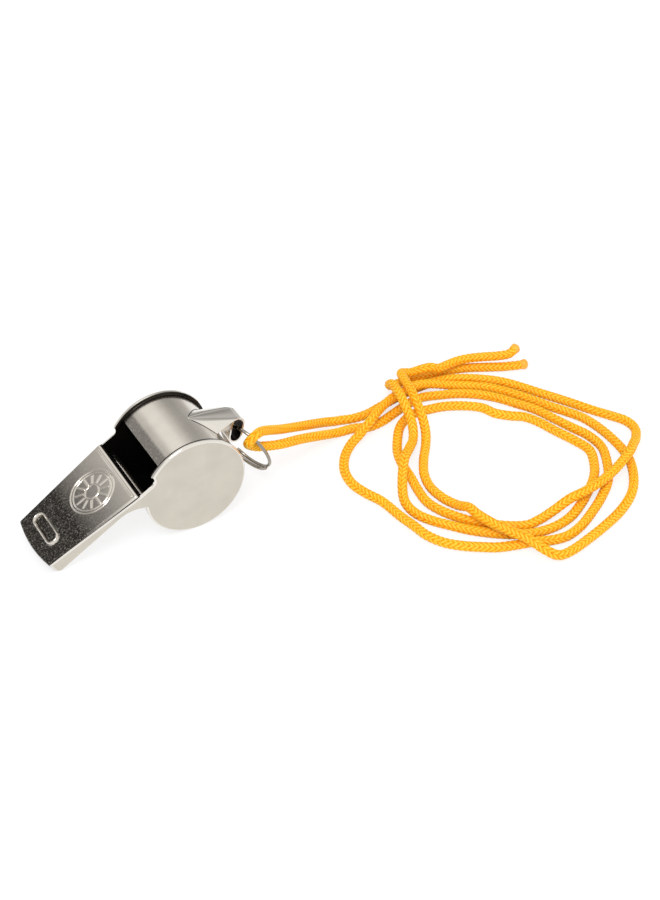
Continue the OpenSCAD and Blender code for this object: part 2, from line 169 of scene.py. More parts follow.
def addCamera():
    azimuth = math.radians(cameraSettings["azimuth"])
    elevation = math.radians(cameraSettings["elevation"])
    level = math.cos(elevation)
    back = np.array([math.sin(azimuth) * level, -math.cos(azimuth) * level, math.sin(elevation)])
    data = bpy.data.cameras.new("camera")
    data.sensor_fit = "HORIZONTAL"
    data.sensor_width = cameraSettings["sensor"]
    data.lens = cameraSettings["pixels"] * cameraSettings["sensor"] / cameraSettings["photoWidth"]
    data.clip_start = 0.01
    data.clip_end = 20
    camera = bpy.data.objects.new("camera", data)
    target = inRow(cameraSettings["target"])
    camera.location = target + back * cameraSettings["distance"] * mm
    camera.rotation_mode = "QUATERNION"
    camera.rotation_quaternion = Vector(-back).to_track_quat("-Z", "Y")
    bpy.context.scene.collection.objects.link(camera)
    bpy.context.scene.camera = camera


addCamera()
print("camera placed")

# Polyester cord, braided round and piece dyed. Every yarn bundle is smooth and shiny along its top
# and falls into a groove where the next one covers it; flank and groove are painted shade, deeper orange.
cordLook = {
    "diameter": 2.0, "columns": 6, "stitch": 1.05, "depth": 0.26, "slant": 1.15, "twistLength": 90.0,
    "ringSpacing": 0.16, "sides": 40, "pathSpacing": 0.8,
    "crest": "#FFCB5A", "flank": "#FFAB28", "grooveShade": "#F57506",
}

ringHook = (12.678, 0.0, 15.0115)  # where the ring hangs in the eye
drawnHook = (13.35, 0.0, 14.75)  # where it hung when the cord's route was drawn
cordSlide = [now - drawn for now, drawn in zip(ringHook, drawnHook)]
bightEnd = 13.75  # height over the table through which the hanging part follows the ring

routeA = [
    (14.4, -5.4, 13.2), (14.1, -6.3, 14.4), (15.4, -6.4, 15.6), (17.6, -4.9, 14.8), (20.4, -3, 12.7),
    (24.8, -0.2, 9.2), (31, 2.5, 5.6), (37.5, 5.2, 2),
    (41, 5.2, 1), (44.5, 4.2, 1), (48, 4, 1), (52, 4.8, 1), (56, 5.6, 1), (60, 6.2, 1), (65, 6.4, 1),
    (69, 5.8, 1), (73, 4.1, 1), (76.4, 1.8, 1), (79.6, -1.1, 1), (82.6, -5.2, 1), (85.5, -9.8, 1),
    (88.2, -14, 1), (91, -18.7, 1), (93.4, -22.3, 1), (95.3, -25.5, 1), (95.4, -28.7, 1),
    (93.2, -31.8, 1.6), (90.6, -34.2, 2.9), (88, -36.4, 3.6), (85, -38, 3.5), (81.2, -39.8, 3.5),
    (76.8, -41.2, 3.5), (72.6, -42, 3.5), (68.6, -42.2, 3.3), (65, -42.2, 1.9), (61.6, -42.3, 1),
    (58.4, -42.5, 1), (55.4, -41.2, 1), (52.4, -39, 1), (49.6, -36.5, 1), (47.2, -33.4, 1),
    (45.3, -30, 1), (44.3, -26.5, 1), (44.6, -22.5, 1), (45.4, -18.2, 1), (45.9, -14.4, 1),
    (47, -10.5, 1), (49, -7, 1), (51.6, -3.6, 1), (54.5, -1.6, 1), (57.5, -0.9, 1), (60.5, -1.3, 1),
    (64, -2.1, 1), (67.9, -4.1, 1), (70.8, -6.5, 1), (72.2, -9.4, 1), (74.6, -11.8, 1),
    (77, -13.6, 1), (78.7, -16.5, 1), (80.2, -20.9, 1), (81.9, -25.5, 1), (82.8, -29.6, 1),
    (81, -33.8, 1), (78.6, -37, 1), (75, -40.1, 1), (71.2, -42.7, 1), (67.4, -44.7, 1),
    (63.2, -45.6, 1), (59, -45.3, 1), (55, -43.8, 1), (51.2, -41.3, 1), (47.5, -38.1, 1),
    (44.6, -34.8, 1), (42.2, -31.8, 1), (40.6, -28.8, 1), (40.2, -25.6, 1), (41, -22.5, 1.2),
    (43, -18.9, 2.6), (45.7, -15.2, 3.6), (49, -11.8, 2.6), (51.8, -8.8, 1.8), (53.2, -6, 3.4),
    (53.4, -3, 5.8), (53.9, 0.1, 6.5), (54.4, 2.8, 6.4), (55, 5.4, 5.6), (55.8, 7.8, 3.4),
    (57.6, 9.4, 1.4), (60.6, 9.8, 1), (64.5, 9.3, 1), (68, 8.8, 1), (71.5, 8.2, 1), (75.4, 7, 1),
    (79.5, 5, 1), (82.7, 3.4, 1), (85.3, 2.4, 1), (87.2, 1.6, 1.2),
]
routeB = [
    (14.4, -5.4, 13.2), (15.8, -4.9, 11.8), (17.9, -4.7, 10.7), (22.4, -3.9, 8.8), (28.6, -1.6, 6),
    (34.6, 0.5, 3),
    (39.2, 1.5, 1.2), (43, 1.2, 1), (46.2, 0, 1), (49.4, 0.2, 1), (52.8, 1.2, 1), (56.5, 2.3, 1),
    (61, 3, 1), (65.5, 1.6, 1), (69.1, 0.1, 1), (72.5, -2.2, 1), (75.4, -5.1, 1), (77.9, -8.7, 1),
    (80.5, -12.7, 1), (82.2, -17.1, 1), (83.8, -21.4, 1), (85.4, -25.6, 1), (85.6, -30.2, 1),
    (83.4, -35.2, 1), (80.4, -39.5, 1), (76.2, -43, 1), (71.8, -45.8, 1), (67.6, -48, 1),
    (63.6, -49.1, 1), (60, -48.6, 1), (56.6, -47.2, 1), (53, -46.2, 1), (49.5, -45, 1),
    (46.2, -43, 1), (43.4, -41, 1), (40.8, -38.4, 1), (39, -35, 1), (38.2, -31.3, 1),
    (37.3, -27.4, 1), (36.4, -22, 1), (34.7, -17.8, 1), (33.8, -14, 1), (34.4, -9.9, 1),
    (36.6, -6.1, 1), (39.6, -3.4, 1.2), (42.7, -2.2, 2.2), (45.9, -1, 3.6), (49.7, 1.4, 3.6),
    (53.3, 3.1, 3.6), (57, 4.1, 3.6), (61, 4.6, 3.5), (65, 4.2, 2.5), (69, 3.2, 1.2),
    (72.6, 1.2, 1), (75.8, -1.2, 1), (78.6, -4.6, 1), (81.3, -8.8, 1), (83.6, -12.9, 1),
    (85.8, -16.4, 1), (87.8, -20, 1), (88.8, -24, 1), (89.2, -28.4, 1), (89, -33, 1),
    (88, -37, 1), (85.6, -41.4, 1), (82.2, -45.2, 1), (77.4, -48.2, 1), (72.3, -50.2, 1),
    (67, -51.8, 1), (62, -53, 1), (58.6, -53, 1.2), (56.2, -51.2, 2.5), (54.4, -48, 3.6),
    (52.5, -44.4, 3.6), (50.7, -40.6, 3.6), (49.6, -37, 3.6), (49.5, -34, 3.1), (48.9, -31, 1.6),
    (47.8, -27.2, 1), (47.3, -23.2, 1), (48.3, -19, 1), (50.6, -15, 1), (53.6, -11, 1),
    (55.4, -8, 1.8), (56, -5.4, 4), (56.2, -2.6, 6), (56.8, 0.4, 6.5), (57.4, 3.4, 6.4),
    (58.1, 6.4, 6), (59.4, 8.4, 4.9), (61.6, 8.3, 4.2), (63.8, 7.5, 4.8), (65.8, 7, 4.9),
    (67.8, 6.8, 4), (70.4, 7.3, 3.6), (73.3, 7.5, 3.5), (76, 7, 3.5), (79, 5.9, 3.5),
    (82, 4.6, 3.5), (84.6, 4, 3.5), (86.6, 4.6, 3.8),
]


def slid(point):
    share = min(1, (point[2] - 1) / bightEnd)
    return (point[0] + cordSlide[0], point[1], point[2] + cordSlide[2] * max(0, share))


def hangs(route, count):  # the first points hang from the ring, the others lie on the table
    return [slid(p) if i < count else (p[0] + cordSlide[0], p[1], p[2]) for i, p in enumerate(route)]


def smoothLine(points, perStretch=14):
    p = np.asarray(points, float)
    line = []
    for i in range(len(p) - 1):
        a, b = p[i], p[i + 1]
        before = p[i - 1] if i > 0 else 2 * a - b
        after = p[i + 2] if i + 2 < len(p) else 2 * b - a
        for t in np.arange(perStretch) / perStretch:
            bend, twist = 2 * before - 5 * a + 4 * b - after, 3 * a - before - 3 * b + after
            line.append((2 * a + (b - before) * t + bend * t**2 + twist * t**3) / 2)
    line.append(p[-1])
    line = np.array(line)
    line[:, 2] = np.maximum(line[:, 2], 1.0)
    return line


def evenly(line, spacing):
    steps = np.linalg.norm(np.diff(line, axis=0), axis=1)
    run = np.concatenate([[0], np.cumsum(steps)])
    at = np.linspace(0, run[-1], max(2, int(run[-1] / spacing)))
    return np.stack([np.interp(at, run, line[:, k]) for k in range(3)], 1), at


def carriedFrames(line):
    tangents = np.gradient(line, axis=0)
    tangents /= np.linalg.norm(tangents, axis=1)[:, None]
    side = np.cross(tangents[0], [0, 0, 1])
    side /= np.linalg.norm(side)
    sides = []
    for t in tangents:
        side = side - (side @ t) * t
        side /= np.linalg.norm(side)
        sides.append(side)
    sides = np.array(sides)
    return tangents, sides, np.cross(tangents, sides)


def polyesterBraid():
    # Braided polyester: soft gloss along each yarn bundle, matte in the grooves between them. Light
    # soaks into the yarns and comes out deep orange in the shade.
    material, tree, shader = newMaterial("polyesterBraid", {
        "Roughness": 0.5, "Specular IOR Level": 0.2,
        "Subsurface Weight": 0.3, "Subsurface Radius": (1.0, 0.35, 0.05), "Subsurface Scale": 0.0006,
    })
    crest = addNode(tree, "ShaderNodeAttribute", {"attribute_name": "crest"})
    where = {"Vector": addNode(tree, "ShaderNodeTexCoord").outputs["Object"]}
    # one filament is 0.02 mm, too fine to show, so the fibres are drawn 0.15 mm apart
    grain = {"Scale": perMetre(0.15), "Detail": 3.0, "Roughness": 0.6}
    fibres = addNode(tree, "ShaderNodeTexNoise", grain, where)
    # the dye takes a little unevenly, over about 9 mm
    dye = addNode(tree, "ShaderNodeTexNoise", {"Scale": perMetre(9), "Detail": 2.0}, where)
    # the flank and groove stops are painted shade, deeper orange where the bundles meet
    stops = [(at, linear(cordLook[part])) for at, part in ((0.18, "grooveShade"), (0.94, "crest"), (0.6, "flank"))]
    ramp = addNode(tree, "ShaderNodeValToRGB", None, {"Fac": crest.outputs["Fac"]}, stops)
    multiply = {"data_type": "RGBA", "blend_type": "MULTIPLY", 0: 0.1}
    colours = {6: ramp.outputs["Color"], 7: fibres.outputs["Color"]}
    shade = addNode(tree, "ShaderNodeMix", multiply, colours)
    tone = addNode(tree, "ShaderNodeHueSaturation", {"Saturation": 1.06}, {"Color": shade.outputs[2]})
    evenness = {"To Min": 0.94, "To Max": 1.1}
    toneRange = addNode(tree, "ShaderNodeMapRange", evenness, {"Value": dye.outputs["Fac"]})
    tree.links.new(toneRange.outputs["Result"], tone.inputs["Value"])
    tree.links.new(tone.outputs["Color"], shader.inputs["Base Color"])
    fuzz = {"Strength": 0.35, "Distance": 0.00006}
    bump = addNode(tree, "ShaderNodeBump", fuzz, {"Height": fibres.outputs["Fac"]})
    tree.links.new(bump.outputs["Normal"], shader.inputs["Normal"])
    return material


def braidedCord(name, route, node, material, twistStart):
    line = smoothLine(route)
    path, at = evenly(line, cordLook["ringSpacing"])
    tangents, sides, ups = carriedFrames(path)
    angle = np.linspace(0, 2 * math.pi, cordLook["sides"], endpoint=False)
    radius = cordLook["diameter"] / 2
    # each column of stitches leans the other way from its neighbours, which makes the chevrons
    column = (angle / (2 * math.pi) * cordLook["columns"])[None, :]
    inColumn = column - np.floor(column)
    lean = np.where(np.floor(column).astype(int) % 2 == 0, 1.0, -1.0)
    phase = at[:, None] / cordLook["stitch"] + lean * (inColumn - 0.5) * cordLook["slant"]
    along = phase - np.floor(phase)
    # a bundle is round along its stitch, and falls off a little at the sides of its column
    acrossColumn = 0.62 + 0.38 * np.clip(1 - (2 * inColumn - 1) ** 6, 0, 1) ** 0.5
    crest = np.sqrt(np.clip(1 - (2 * along - 1) ** 2, 0, 1)) * acrossColumn
    reach = radius * (1 + 0.04 - cordLook["depth"] * (1 - crest))
    turn = angle[None, :] + 2 * math.pi * at[:, None] / cordLook["twistLength"] + twistStart
    spoke = np.cos(turn)[:, :, None] * sides[:, None, :] + np.sin(turn)[:, :, None] * ups[:, None, :]
    points = path[:, None, :] + reach[:, :, None] * spoke
    points[:, :, 2] = np.maximum(points[:, :, 2], 0.0)
    count, around = len(path), len(angle)
    faces = tubeFaces(count, around)
    faces += [tuple(range(around))[::-1], tuple((count - 1) * around + j for j in range(around))]
    cord = addPiece(name, inRow(points.reshape(-1, 3)), faces, material, None, 80)
    crestLayer = cord.data.attributes.new("crest", "FLOAT", "POINT")
    crestLayer.data.foreach_set("value", crest.reshape(-1).astype(np.float32))
    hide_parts(node)
    step = int(cordLook["pathSpacing"] / cordLook["ringSpacing"])
    coarse = inRow(np.vstack([path[:-step:step], path[-1:]]))
    return cord, coarse, at[-1], path, tangents


def sealedPolyester():
    # Polyester melted with a flame: a glossier, uneven skin, darker where it was hottest
    material, tree, shader = newMaterial("sealedPolyester", {"Roughness": 0.38})
    tones = [(0.3, linear("#FA9A18")), (0.65, linear("#FFBE48"))]
    lumps = wanderingTone(tree, shader, 0.7, 4.0, tones)[0]
    drips = {"Strength": 0.6, "Distance": 0.00015}
    bump = addNode(tree, "ShaderNodeBump", drips, {"Height": lumps.outputs["Fac"]})
    tree.links.new(bump.outputs["Normal"], shader.inputs["Normal"])
    return material


def sealedEnd(name, at, way, material):
    way = way / np.linalg.norm(way)
    side = np.cross(way, [0, 0, 1])
    side /= np.linalg.norm(side)
    up = np.cross(way, side)
    around = 28
    profile = [  # depth along the cord, and radius
        (-0.9, 0.86), (-0.6, 1.0), (-0.25, 1.1), (0.1, 1.14),
        (0.4, 1.06), (0.65, 0.86), (0.82, 0.58), (0.9, 0.28),
    ]
    points = []
    for depth, radius in profile:
        for j in range(around):
            a = 2 * math.pi * j / around
            lump = 1 + 0.035 * math.sin(3 * a + 5 * depth) + 0.02 * math.sin(5 * a)
            points.append(at + way * depth + radius * lump * (math.cos(a) * side + math.sin(a) * up))
    points = np.array(points)
    points[:, 2] = np.maximum(points[:, 2], 0.0)
    faces = tubeFaces(len(profile), around)
    tip = len(points)
    points = np.vstack([points, at + way * 0.93])
    last = (len(profile) - 1) * around
    faces += [(last + j, last + (j + 1) % around, tip) for j in range(around)]
    end = addPiece(name, inRow(points), faces, material, "whistle")
    outwards(end)
    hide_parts("lanyard_sealed_ends")
    return end


def layCord():
    braid, sealed = polyesterBraid(), sealedPolyester()
    for name, route, node, count, twist in (
        ("braidedCordOutbound", routeA, "lanyard_strand_a", 8, 0.3),
        ("braidedCordReturn", routeB, "lanyard_strand_b", 6, 1.4),
    ):
        cord, line, length, path, tangents = braidedCord(name, hangs(route, count), node, braid, twist)
        end = sealedEnd(name + "SealedEnd", path[-1], tangents[-1], sealed)
        # the cord's bight hangs on the ring, and eases into the part that lies on the table
        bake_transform(cord)
        print(name, "length", round(float(length), 1), "mm")


layCord()
print("cord laid")


def nickelSheet(name, colour, roughness, mottle=0.0, mottleSize=1.0):
    # Bright nickel plate on pressed steel: a mirror a little softened by the rolled sheet under it,
    # with fine handling marks. Mottle is the darker, pitted skin of a stamped face.
    material, tree, shader = newMaterial(name, {"Metallic": 1.0})
    where = {"Vector": addNode(tree, "ShaderNodeTexCoord").outputs["Object"]}
    # rolled sheet waves over about 4 mm
    waves = addNode(tree, "ShaderNodeTexNoise", {"Scale": perMetre(4), "Detail": 2.0}, where)
    # handling marks are hairlines about 0.09 mm apart, stretched along the whistle
    stretch = addNode(tree, "ShaderNodeMapping", {"Scale": (1.0, 14.0, 1.0)}, where)
    hairlines = {"Scale": perMetre(1.2), "Detail": 5.0, "Roughness": 0.7}
    marks = addNode(tree, "ShaderNodeTexNoise", hairlines, {"Vector": stretch.outputs["Vector"]})
    worn = {"From Min": 0.35, "From Max": 0.7, "To Min": roughness * 0.75, "To Max": roughness * 1.35}
    rough = addNode(tree, "ShaderNodeMapRange", worn, {"Value": marks.outputs["Fac"]}).outputs["Result"]
    stops = [(0.3, [c * 0.93 for c in linear(colour)[:3]] + [1]), (0.7, linear(colour))]
    plate = addNode(tree, "ShaderNodeValToRGB", None, {"Fac": waves.outputs["Fac"]}, stops).outputs["Color"]
    ripple = {"Strength": 0.12 if mottle else 0.1, "Distance": 0.00012}
    bump = addNode(tree, "ShaderNodeBump", ripple, {"Height": waves.outputs["Fac"]})
    if mottle:
        mask = addNode(tree, "ShaderNodeAttribute", {"attribute_name": "stampedSkin"}).outputs["Fac"]
        specks = {"Scale": perMetre(mottleSize), "Detail": 6.0, "Roughness": 0.72}
        blotches = addNode(tree, "ShaderNodeTexNoise", specks, where)
        darkest = {"From Min": 0.5, "From Max": 0.78, "To Min": mottle, "To Max": mottle * 0.2}
        dark = addNode(tree, "ShaderNodeMapRange", darkest, {"Value": blotches.outputs["Fac"]})
        times = {"operation": "MULTIPLY"}
        amount = addNode(tree, "ShaderNodeMath", times, {0: dark.outputs["Result"], 1: mask})
        blackened = {"data_type": "RGBA", 7: linear("#1D1A17")}
        plate = addNode(tree, "ShaderNodeMix", blackened, {0: amount.outputs["Value"], 6: plate}).outputs[2]
        # pits of the stamped skin are 0.3 mm across
        pits = addNode(tree, "ShaderNodeTexNoise", {"Scale": perMetre(0.3), "Detail": 4.0}, where)
        depth = addNode(tree, "ShaderNodeMath", times, {0: pits.outputs["Fac"], 1: mask})
        pitted = {"Strength": 0.6, "Distance": 0.00008}
        skin = addNode(tree, "ShaderNodeBump", pitted, {"Height": depth.outputs["Value"]})
        tree.links.new(skin.outputs["Normal"], bump.inputs["Normal"])
        rougher = {"operation": "MULTIPLY_ADD", 1: 0.06}
        rough = addNode(tree, "ShaderNodeMath", rougher, {0: mask, 2: rough}).outputs["Value"]
    tree.links.new(plate, shader.inputs["Base Color"])
    tree.links.new(rough, shader.inputs["Roughness"])
    tree.links.new(bump.outputs["Normal"], shader.inputs["Normal"])
    return material


plated = nickelSheet("nickelPlatedSheet", "#EBE7E0", 0.14)
platedBarrel = nickelSheet("nickelPlatedRolledSheet", "#E2DCD3", 0.22, 0.62, 0.45)
# A darker copy of the plate for the discs' flat faces: painted shade, so that the brighter rounded edges read
# as painted highlights
platedDiscShaded = nickelSheet("nickelPlatedDiscShaded", "#D0CABE", 0.2)
platedStamped = nickelSheet("nickelPlatedStampedSheet", "#E0DAD1", 0.13, 0.97, 0.36)
wireNickel = nickelSheet("nickelPlatedSpringWire", "#A29A8E", 0.18)


def innerPaintedShade():
    # Painted shade inside the barrel and under the sheets: the plate there is drawn nearly black, so it gives
    # back little light
    values = {"Roughness": 0.7, "Specular IOR Level": 0.06}
    material, tree, shader = newMaterial("innerSheetPaintedShade", values)
    wanderingTone(tree, shader, 2.5, 4.0, [(0.35, linear("#060504")), (0.75, linear("#0D0B09"))])
    return material


def paintedSeamShade():
    # Painted shade, nearly black with a dull gloss, laid along the seams, slits and the inside of the curl:
    # it draws each joint as a thin dark line
    material, tree, shader = newMaterial("paintedSeamShade", {"Metallic": 0.7, "Roughness": 0.35})
    wanderingTone(tree, shader, 1.5, 3.0, [(0.35, linear("#0E0C0A")), (0.7, linear("#2F2820"))])
    return material


shadedInside = innerPaintedShade()
seamShade = paintedSeamShade()

# Side plates: one pressed sheet with the disc, its rounded edge and turned rim, and the tapered wall
plateSizes = {
    "hinge": 10.2, "reach": 31.7, "seat": 8.3, "tipHalf": 7.3, "tipLow": 4.9, "tipRound": 1.2,
    "waistAt": 15.2, "waistLow": 6.55, "flare": 6.0,
    "notchFront": 9.15, "notchBack": 5.0, "notchRound": 1.3, "notchFloor": 8.2,
    "edge": 0.44, "rimDepth": 1.1, "bandOut": 10.2, "rimFrom": 158.0, "rimTo": 477.5, "rimTurns": 180,
    "rimStep": {-1: 0.42, 1: 0.26},  # how far the dark line under the disc's edge reaches, by side
}
lowEdge = (  # from the tip to the waist
    plateSizes["reach"] - plateSizes["tipRound"] - plateSizes["waistAt"],
    plateSizes["waistLow"] - plateSizes["tipLow"],
)
taper = math.atan2(lay["halfOver"] - plateSizes["tipHalf"], plateSizes["reach"] - plateSizes["hinge"])


def plateOutline():
    s = plateSizes
    slope = math.atan2(lowEdge[1], lowEdge[0])
    waist, across = np.array([-s["waistAt"], s["waistLow"]]), np.array([math.sin(slope), -math.cos(slope)])
    flare = waist + s["flare"] * across
    span = np.linalg.norm(flare)
    share = (span**2 + lay["discRadius"] ** 2 - s["flare"] ** 2) / (2 * span)
    rise = math.sqrt(lay["discRadius"] ** 2 - share**2)
    way = flare / span
    meet = share * way + rise * np.array([way[1], -way[0]])
    if meet[1] < 0:
        meet = share * way - rise * np.array([way[1], -way[0]])
    start = math.atan2(meet[1], meet[0])
    notchTop = math.atan2(math.sqrt(lay["discRadius"] ** 2 - s["notchBack"] ** 2), -s["notchBack"])
    line = []
    for a in np.linspace(start, notchTop + 2 * math.pi, 200):
        line.append((lay["discRadius"] * math.cos(a), lay["discRadius"] * math.sin(a)))
    notch = (-s["notchBack"] - s["notchRound"], s["notchFloor"] + s["notchRound"])
    for a in np.radians(np.arange(0, -91, -10)):
        line.append((notch[0] + s["notchRound"] * math.cos(a), notch[1] + s["notchRound"] * math.sin(a)))
    line += [(-s["notchFront"], s["notchFloor"]), (-s["notchFront"], s["seat"])]
    top = len(line)
    line.append((-s["hinge"], s["seat"]))
    for u in np.linspace(s["hinge"] + 2, s["reach"], 8):
        line.append((-u, s["seat"]))
    corner = (-s["reach"] + s["tipRound"], s["tipLow"] + s["tipRound"])
    for a in np.radians(np.linspace(180, 270 + math.degrees(slope), 9)):
        line.append((corner[0] + s["tipRound"] * math.cos(a), corner[1] + s["tipRound"] * math.sin(a)))
    for u in np.linspace(s["reach"] - s["tipRound"] - 2, s["waistAt"] + 1.5, 6):
        line.append((-u, s["tipLow"] + (s["reach"] - s["tipRound"] - u) * math.tan(slope)))
    ending = math.atan2(meet[1] - flare[1], meet[0] - flare[0])
    bottom = None
    for a in np.linspace(math.pi / 2 + slope, ending, 16)[:-1]:
        p = (flare[0] + s["flare"] * math.cos(a), flare[1] + s["flare"] * math.sin(a))
        if bottom is None and p[0] > -s["hinge"] - 0.4:
            bottom = len(line)
        line.append(p)
    return np.array(line), top, bottom if bottom else len(line) - 1


def inset(line, amount):
    before = line - np.roll(line, 1, 0)
    after = np.roll(line, -1, 0) - line
    before /= np.linalg.norm(before, axis=1)[:, None]
    after /= np.linalg.norm(after, axis=1)[:, None]
    left = np.stack([-before[:, 1], before[:, 0]], 1)
    leftNext = np.stack([-after[:, 1], after[:, 0]], 1)
    middle = left + leftNext
    middle /= np.linalg.norm(middle, axis=1)[:, None]
    return line + middle * (amount / np.clip((middle * left).sum(1), 0.6, 1))[:, None]


def sidePlate(name, side, node):
    s = plateSizes
    line, top, bottom = plateOutline()
    edge, outer, inner = s["edge"], lay["halfOver"], lay["halfOver"] - lay["sheet"]
    levels = [(inner, 0.06), (inner + 0.06, 0.0)]
    for a in np.radians([0, 18, 36, 54, 72, 90]):
        levels.append((outer - edge + edge * math.sin(a), edge * (1 - math.cos(a))))
    points = []
    for across, amount in levels:
        for u, w in inset(line, amount):
            lean = max(0.0, -u - s["hinge"]) * math.tan(taper)
            points.append(laid(u, side * (across - lean), w))
    n = len(line)
    faces = tubeFaces(len(levels), n)
    for level in (0, len(levels) - 1):
        discPart = [level * n + i for i in list(range(0, top + 1)) + list(range(bottom, n))]
        wallPart = [level * n + i for i in range(top, bottom + 1)]
        faces += [discPart, wallPart]
    # the turned rim stands in from the disc's edge, and its open edge is rounded
    start, finish, turns = math.radians(s["rimFrom"]), math.radians(s["rimTo"]), s["rimTurns"]
    out, low, high = lay["discRadius"] - 0.03, outer - s["rimDepth"], outer - edge
    section = [
        (out, high), (out, low + s["rimStep"][side]), (out, low + 0.2), (out - 0.06, low + 0.06),
        (out - 0.2, low),
        (s["bandOut"] + 0.2, low), (s["bandOut"] + 0.08, low + 0.08), (s["bandOut"] + 0.05, high),
    ]
    base, m = len(points), len(section)
    for j in range(turns + 1):
        a = start + (finish - start) * j / turns
        for radius, across in section:
            points.append(laid(radius * math.cos(a), side * across, radius * math.sin(a)))
    faces += [tuple(base + k for k in face) for face in tubeFaces(turns + 1, m)]
    faces += [tuple(base + k for k in range(m)), tuple(base + turns * m + k for k in range(m))]
    plate = addPiece(name, points, faces, plated, "whistle")
    for other in (shadedInside, seamShade, platedDiscShaded):
        plate.data.materials.append(other)
    # the two inner faces take the painted shade of the inside, and the two outer ones that follow them the
    # darker disc copy, so the rounded edges show as painted highlights
    strips = (len(levels) - 1) * n
    for number in (strips, strips + 1):
        plate.data.polygons[number].material_index = 1
        plate.data.polygons[number + 2].material_index = 3
    # painted shade lies along the wall's seams with the top plate and the floor, and on the rim's open edge
    wallTop, wallFoot, seamLevels = range(top - 1, top + 9), range(top + 17, n - 6), range(1, 4)
    seams = [level * n + i for level in seamLevels for i in (*wallTop, *wallFoot)]
    openEdge = [strips + 4 + j * m + k for j in range(turns) for k in range(1, m - 1)]
    for number in seams + openEdge:
        plate.data.polygons[number].material_index = 2
    outwards(plate)
    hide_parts(node)
    flatFaces(plate)


sidePlate("sidePlateNear", -1, "side_plate_near")
sidePlate("sidePlateFar", 1, "side_plate_far")
print("side plates made")


def bentLine(runs, start, heading, step=8):
    p = np.array(start, float)
    line = [p.copy()]
    for straight, radius, bend in runs:
        way = np.array([math.cos(math.radians(heading)), math.sin(math.radians(heading))])
        p = p + straight * way
        line.append(p.copy())
        if bend:
            side = 1 if bend > 0 else -1
            left = np.array([-way[1], way[0]])
            centre = p + radius * side * left
            count = max(2, int(abs(bend) / step))
            for i in range(1, count + 1):
                h = math.radians(heading + bend * i / count)
                line.append(centre - radius * side * np.array([-math.sin(h), math.cos(h)]))
            p = line[-1].copy()
            heading += bend
    keep = [line[0]]
    for q in line[1:]:
        if np.linalg.norm(q - keep[-1]) > 1e-3:
            keep.append(q)
    return np.array(keep)


def sheetStrip(name, line, thick, widths, material, edge=0.1, slices=1):
    # widths gives the low and high edge across the whistle at each point of the line
    tangent = np.gradient(line, axis=0)
    tangent /= np.linalg.norm(tangent, axis=1)[:, None]
    normal = np.stack([-tangent[:, 1], tangent[:, 0]], 1)
    points, faces = [], []
    for p, n, (low, high) in zip(line, normal, widths):
        for k in range(slices + 1):
            y = low + (high - low) * k / slices
            for s in (1, -1):
                q = p + s * thick / 2 * n
                points.append(laid(q[0], y, q[1]))
    row = 2 * (slices + 1)
    for i in range(len(line) - 1):
        for k in range(slices):
            for s in (0, 1):
                a = i * row + 2 * k + s
                faces.append((a, a + 2, a + row + 2, a + row))
        for a in (i * row, i * row + 2 * slices):
            faces.append((a, a + 1, a + row + 1, a + row))
    for i in (0, len(line) - 1):
        for k in range(slices):
            a = i * row + 2 * k
            faces.append((a, a + 1, a + 3, a + 2))
    strip = addPiece(name, points, faces, material, "whistle")
    outwards(strip)
    edgeRounding(strip, edge)
    return strip


# Barrel: the strip rolled between the discs, stippled beside the voicing edge
barrel = {"mid": 9.95, "from": 150.0, "voicing": 105.4, "half": 8.85, "stippleWidth": 2.5, "stippleFade": 0.5}


def barrelBand():
    angles = np.radians(np.linspace(barrel["from"], 360 + barrel["voicing"], 260))
    line = np.stack([barrel["mid"] * np.cos(angles), barrel["mid"] * np.sin(angles)], 1)
    widths = [(-barrel["half"], barrel["half"])] * len(line)
    band = sheetStrip("barrelBand", line, lay["sheet"], widths, platedBarrel, 0.08, 12)
    band.data.materials.append(shadedInside)
    skin = band.data.attributes.new("stampedSkin", "FLOAT", "POINT")
    where = np.array([v.co[:] for v in band.data.vertices]) / mm
    x, z = where[:, 0] - lay["shift"], where[:, 2] - lay["discRadius"]
    angle = np.degrees(np.arctan2(z, x)) - lay["tilt"]
    distance = np.radians((barrel["voicing"] - angle) % 360) * barrel["mid"]
    stippled = np.clip((barrel["stippleWidth"] - distance) / barrel["stippleFade"], 0, 1)
    skin.data.foreach_set("value", stippled.astype(np.float32))
    for face in band.data.polygons:  # painted shade inside, and at the edge that shows down in the window
        c = face.center / mm
        across, up = c[0] - lay["shift"], c[2] - lay["discRadius"]
        turned = (math.degrees(math.atan2(up, across)) - lay["tilt"]) % 360
        if math.hypot(across, up) < barrel["mid"] - 0.1 or abs(turned - barrel["from"]) < 1:
            face.material_index = 1
    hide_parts("barrel_band")


# Lug: pressed up out of the band as a pointed hood, whose strip runs on and curls into the eye
lug = {
    "angle": 45.0, "length": 11.4, "half": 1.95, "bend": 1.35, "side": 2.8, "lean": 3.4, "gap": 55.0,
    "runIn": 0.4, "eyeSheet": 0.49,
    "apex": 42.0, "slitTurn": 36.0, "slitHalf": 4.75, "slitRadius": 10.23, "slitWiden": 1.6,
    "slitLine": 0.28, "slitBegins": 0.12, "widen": 0.8, "footShare": 0.8, "arch": 0.18, "wall": 0.35,
    "hoodFrom": 0.05, "pullIn": 0.25, "bulge": 0.55,
}


outward = np.array([math.cos(math.radians(lug["angle"])), math.sin(math.radians(lug["angle"]))])
ahead = np.array([outward[1], -outward[0]])


